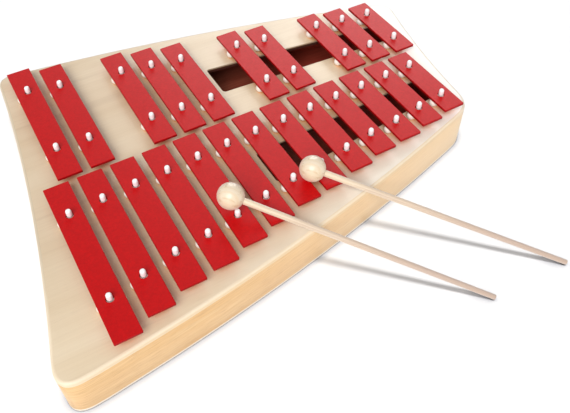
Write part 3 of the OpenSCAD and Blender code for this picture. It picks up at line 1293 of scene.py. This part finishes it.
class Row(Enum):
    """The two rows of bars and how many each has."""

    NATURAL = 13
    ACCIDENTAL = 10

    @property
    def word(self) -> str:
        """The row's name in the CAD nodes."""
        return self.name.lower()


@dataclass
class BarRow:
    """One row of bars with its pegs and rests.

    Attributes:
        row: which row it is.
        bar, peg, rest: the trees that grow its parts.
        lacquer, plastic, soft: the materials of its bars, pegs and rests.
    """

    row: Row
    bar: BarGrowth
    peg: PegGrowth
    rest: RestGrowth
    lacquer: bpy.types.Material
    plastic: bpy.types.Material
    soft: bpy.types.Material

    def build(self) -> None:
        """Builds the bars, the pegs and the rests."""
        points = []
        for i in range(self.row.value):
            points += self.build_bar(f"{self.row.word}_bar_{i + 1}")
        self.build_small("pegs", self.peg, self.plastic, points)
        self.build_small("rests", self.rest, self.soft, points)

    def build_bar(self, bar: str) -> list[tuple[float, float]]:
        """Builds one bar.

        Args:
            bar: the CAD node's name.

        Returns:
            Its two still points in plan.
        """
        low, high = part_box(bar)
        size, middle = high - low, (high + low) / 2
        sizes = {"Length": size.y, "Width": size.x, "Thickness": size.z}
        mesh = self.bar.grow(bar + "_plate", [middle], Finish=self.lacquer, **sizes)
        new_piece(bar.replace("_bar", ""), mesh, bar, bar)
        reach = (0.5 - STILL_SHARE) * size.y
        return [(middle.x, middle.y + sign * reach) for sign in (1, -1)]

    def build_small(
        self,
        kind: str,
        growth: Growth,
        finish: bpy.types.Material,
        points: Sequence[tuple[float, float]],
    ) -> None:
        """Builds the row's pegs or its rests.

        Args:
            kind: the last word of the CAD node's name.
            growth: the tree that grows them.
            finish: their material.
            points: the still points.
        """
        node = f"{self.row.word}_{kind}"
        low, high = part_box(node)
        level = low.z + (high.z - low.z) * growth.SEED_LEVEL
        seeds = [(x, y, level) for x, y in points]
        mesh = growth.grow(node + "_moulded", seeds, Height=high.z - low.z, Finish=finish)
        new_piece(f"{kind}_{self.row.word}", mesh, "sound_box", node)


@dataclass
class Mallet:
    """A turned ball on a round stick.

    Attributes:
        name: the mallet's body.
        ball_rings, stick_rings: how many bands the ball and the stick have along the axis.
        ball_sides, stick_sides: how many faces go round them.
        tail_ease: rounding of the stick's far end.
        tail_share: the stick's thickness there, as a share of that at the ball.
        hole_ease: rounding of the ball's hole.
        hole_gap: how much wider the hole is than the stick, in radius.
        hole_spare: how much deeper the hole is than the stick goes.
        nose_flat: radius of the turning flat at the ball's nose.
    """

    name: str
    ball_rings: int = 36
    stick_rings: int = 24
    ball_sides: int = 56
    stick_sides: int = 32
    tail_ease: float = 0.35 * MM
    tail_share: float = 0.8
    hole_ease: float = 0.5 * MM
    hole_gap: float = 0.1 * MM
    hole_spare: float = 0.2 * MM
    nose_flat: float = 1.1 * MM

    def __post_init__(self) -> None:
        """Reads the stick's axis and the ball's size, and makes the finishes."""
        stick = np.array([v.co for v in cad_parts[self.name + "_stick"].data.vertices])
        middle = stick.mean(axis=0)
        axis = np.linalg.svd(stick - middle)[2][0]
        low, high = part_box(self.name + "_head")
        self.ball_r = max(high - low) / 2
        ball = np.array((low + high) / 2)
        if (middle - ball) @ axis < 0:
            axis = -axis
        along = (stick - middle) @ axis
        across = np.linalg.norm((stick - middle) - np.outer(along, axis), axis=1)
        self.stick_r = float(across.max())
        self.stick_from = float(along.min() + (middle - ball) @ axis)
        self.stick_to = float(along.max() + (middle - ball) @ axis)
        turn = Vector(axis).to_track_quat("X", "Z")
        self.place = Matrix.Translation(Vector(ball)) @ turn.to_matrix().to_4x4()
        back = self.place.inverted()
        spin, shift = tuple(back.to_euler("XYZ")), tuple(back.to_translation())
        self.ball_wood = TurnedFinish(self.name + "_ball_wood", spin, shift).material()
        self.stick_wood = TurnedFinish(
            self.name + "_stick_wood",
            spin,
            shift,
            pale=(0.84, 0.685, 0.49),
            warm=(0.74, 0.57, 0.39),
            line=(0.50, 0.36, 0.27),
            # painted shade toward the stick's far end
            tail=(0.56, 0.42, 0.335),
            lines=165.0,
            gloss=0.38,
            sheen=0.6,
        ).material()

    def build(self) -> None:
        """Builds the ball and the stick."""
        self.build_ball()
        self.build_stick()

    def build_ball(self) -> None:
        """Builds the ball, with a turning flat at its nose and its stick hole."""
        r, hole = self.ball_r, self.stick_r + self.hole_gap
        start = math.asin(self.nose_flat / r)
        stop = math.pi - math.asin((hole + self.hole_ease) / r)
        outline = [(-r * math.cos(start), 0.0)]
        for k in range(self.ball_rings + 1):
            angle = start + (stop - start) * k / self.ball_rings
            outline.append((-r * math.cos(angle), r * math.sin(angle)))
        lip = outline[-1][0]
        outline += [(lip - drop, hole + gap) for drop, gap in quarter_round(self.hole_ease)]
        floor = self.stick_from - self.hole_spare
        outline += [(floor, hole), (floor, 0.0)]
        name = self.name + "_ball"
        mesh = lathe(name, outline, self.place, self.ball_wood, self.ball_sides)
        new_piece(name, mesh, self.name, self.name + "_head")

    def build_stick(self) -> None:
        """Builds the stick, which thins toward its tail and keeps its lower line."""
        r, end = self.stick_r, self.stick_to
        tail_r, span = r * self.tail_share, end - self.tail_ease
        outline = [(self.stick_from, 0.0), (self.stick_from, r)]
        for k in range(self.stick_rings + 1):
            share = k / self.stick_rings
            outline.append((span * share, r + (tail_r - r) * share))
        outline += [(end - gap, tail_r - drop) for drop, gap in quarter_round(self.tail_ease)]
        outline.append((end, 0.0))
        sag = Matrix.Identity(4)
        sag[2][0] = (tail_r - r) / span
        name = self.name + "_dowel"
        mesh = lathe(name, outline, self.place @ sag, self.stick_wood, self.stick_sides)
        for face in mesh.polygons:
            face.use_smooth = len(face.vertices) == 4
        new_piece(name, mesh, self.name, self.name + "_stick")


# -------------------------------------------------------------------- studio
class Lit(Enum):
    """What a softbox lights, as a light link's state on the floor."""

    FLOOR = "INCLUDE"
    OBJECT = "EXCLUDE"
    REFLECTION = ""


@dataclass(frozen=True)
class SoftboxSpec:
    """Where a softbox hangs, its side, its light level at the origin, and what it lights."""

    place: Triple
    size: float
    level: float
    lit: Lit


class Softbox(Enum):
    """The studio's softboxes."""

    OVERHEAD = SoftboxSpec((-0.45, -1.05, 7.0), 1.15, 1.02, Lit.FLOOR)
    FLOOR_FILL = SoftboxSpec((-2.8, -3.5, 5.0), 4.6, 0.43, Lit.FLOOR)
    SIDE = SoftboxSpec((-3.3, -3.5, 4.7), 4.3, 0.91, Lit.OBJECT)
    GLARE = SoftboxSpec((3.9, 5.4, 2.9), 5.0, 0.79, Lit.REFLECTION)


@dataclass
class Studio:
    """Camera, floor and lights.

    Attributes:
        camera_roll: the camera's turn about its aim, in degrees.
        lens, sensor: focal length and film width, in millimetres.
        sky: the world's strength as light.
        pale: the floor's colour far away, by the ramp away, in metres from the middle.
        contact, touch: distances within which painted contact shadow darkens the floor toward the
            object.
        shade, line: the colours of that painted shadow.
    """

    camera_place: Triple = (-0.1792, -0.3812, 0.4168)
    camera_aim: Triple = (0.32158, 0.56480, -0.75999)
    camera_roll: float = -0.4716
    lens: float = 42.46
    sensor: float = 36.0
    nearest: float = 10 * MM
    sky: float = 0.40
    floor_span: float = 3.2
    dull: Triple = (0.61, 0.61, 0.615)
    fair: Triple = (0.63, 0.63, 0.635)
    pale: Triple = (0.80, 0.80, 0.805)
    shade: Triple = (0.30, 0.31, 0.34)
    line: Triple = (0.17, 0.16, 0.155)
    paint: Grain = Grain((90, 90, 90), detail=2)
    away: Ramp = Ramp(0.5, 1.5)
    contact: float = 7 * MM
    near: Ramp = Ramp(0.4, 0.95)
    touch: float = 1.6 * MM
    close: Ramp = Ramp(0.45, 0.8)
    openness_samples: int = 12

    def build(self) -> None:
        """Sets the stage."""
        self.set_camera()
        self.set_sky()
        self.set_floor()
        for box in Softbox:
            self.add_lamp(box)
        bpy.context.scene.view_settings.view_transform = "Standard"

    def set_camera(self) -> None:
        """Places the camera."""
        data = bpy.data.cameras.new("camera")
        data.lens = self.lens
        data.sensor_width = self.sensor
        data.clip_start = self.nearest
        camera = bpy.data.objects.new("camera", data)
        aim = Vector(self.camera_aim).to_track_quat("-Z", "Y")
        roll = Quaternion((0, 0, 1), math.radians(self.camera_roll))
        camera.rotation_mode = "QUATERNION"
        camera.rotation_quaternion = aim @ roll
        camera.location = self.camera_place
        bpy.context.scene.collection.objects.link(camera)
        bpy.context.scene.camera = camera

    def set_sky(self) -> None:
        """Makes the world white to the camera and in reflections, softer as light."""
        world = bpy.data.worlds.new("studio")
        bpy.context.scene.world = world
        world.use_nodes = True
        t = Tree(world.node_tree)
        t.tree.nodes.clear()
        path = t.add("ShaderNodeLightPath").outputs
        seen = t.math("MAXIMUM", path["Is Camera Ray"], path["Is Glossy Ray"])
        seen = t.math("MAXIMUM", seen, path["Is Transmission Ray"])
        soft, white = (
            t.out("ShaderNodeBackground", {"Color": (1, 1, 1, 1), "Strength": strength})
            for strength in (self.sky, 1.0)
        )
        mixed = t.out("ShaderNodeMixShader", {0: seen, 1: soft, 2: white})
        t.add("ShaderNodeOutputWorld", {"Surface": mixed})

    def set_floor(self) -> None:
        """Lays a plain pale floor that keeps the object's shadow, with painted contact shadow where
        the object meets it.
        """
        bm = bmesh.new()
        bmesh.ops.create_grid(bm, x_segments=2, y_segments=2, size=self.floor_span / 2)
        s = Surface("floor_paint")
        tone = s.layer(self.dull, self.paint, self.fair)
        tone = s.blend(s.between(s.length(s.object_place), self.away), tone, self.pale)
        # Painted contact shadow: the floor darkens where the object closes in round it.
        for distance, ramp, dark in (
            (self.contact, self.near, self.shade),
            (self.touch, self.close, self.line),
        ):
            clear = s.between(s.openness(distance, self.openness_samples), ramp)
            tone = s.blend(clear, dark, tone)
        s.finish(tone, roughness=0.8, Specular_IOR_Level=0.1)
        self.floor = bpy.data.objects.new("floor", to_mesh("floor", bm, [s.material]))
        bpy.context.scene.collection.objects.link(self.floor)

    def add_lamp(self, box: Softbox) -> None:
        """Adds a square softbox aimed at the middle of the stage.

        Args:
            box: the softbox.
        """
        name, spec = box.name.lower(), box.value
        place = Vector(spec.place)
        data = bpy.data.lights.new(name, "AREA")
        data.size = spec.size
        data.energy = math.pi**2 * place.length_squared * spec.level
        lamp = bpy.data.objects.new(name, data)
        lamp.location = place
        lamp.rotation_mode = "QUATERNION"
        lamp.rotation_quaternion = (-place).to_track_quat("-Z", "Y")
        if spec.lit is Lit.REFLECTION:
            lamp.visible_diffuse = False
        else:
            receivers = bpy.data.collections.new(name + "_receivers")
            receivers.objects.link(self.floor)
            lamp.light_linking.receiver_collection = receivers
            receivers.collection_objects[0].light_linking.link_state = spec.lit.value
        bpy.context.scene.collection.objects.link(lamp)


def main() -> None:
    """Builds the stage, the box, both rows and the mallets, in that order."""
    logging.basicConfig(level=logging.INFO, format="%(name)s: %(message)s")
    Studio().build()
    SoundBox().build()
    growths = (BarGrowth(), PegGrowth(), RestGrowth())
    lacquer = LacquerFinish("red_lacquer").material()
    plastic = PlasticFinish("peg_plastic").material()
    # Its last colour is painted shade round each peg, for the shadow down the bar's hole.
    soft = PlasticFinish(
        "rest_plastic", (0.96, 0.865, 0.785), (0.905, 0.79, 0.69), 0.45, (0.05, 0.012, 0.012)
    ).material()
    for row in Row:
        BarRow(row, *growths, lacquer, plastic, soft).build()
    for name in ("mallet_1", "mallet_2"):
        Mallet(name).build()


if __name__ == "__main__":
    main()
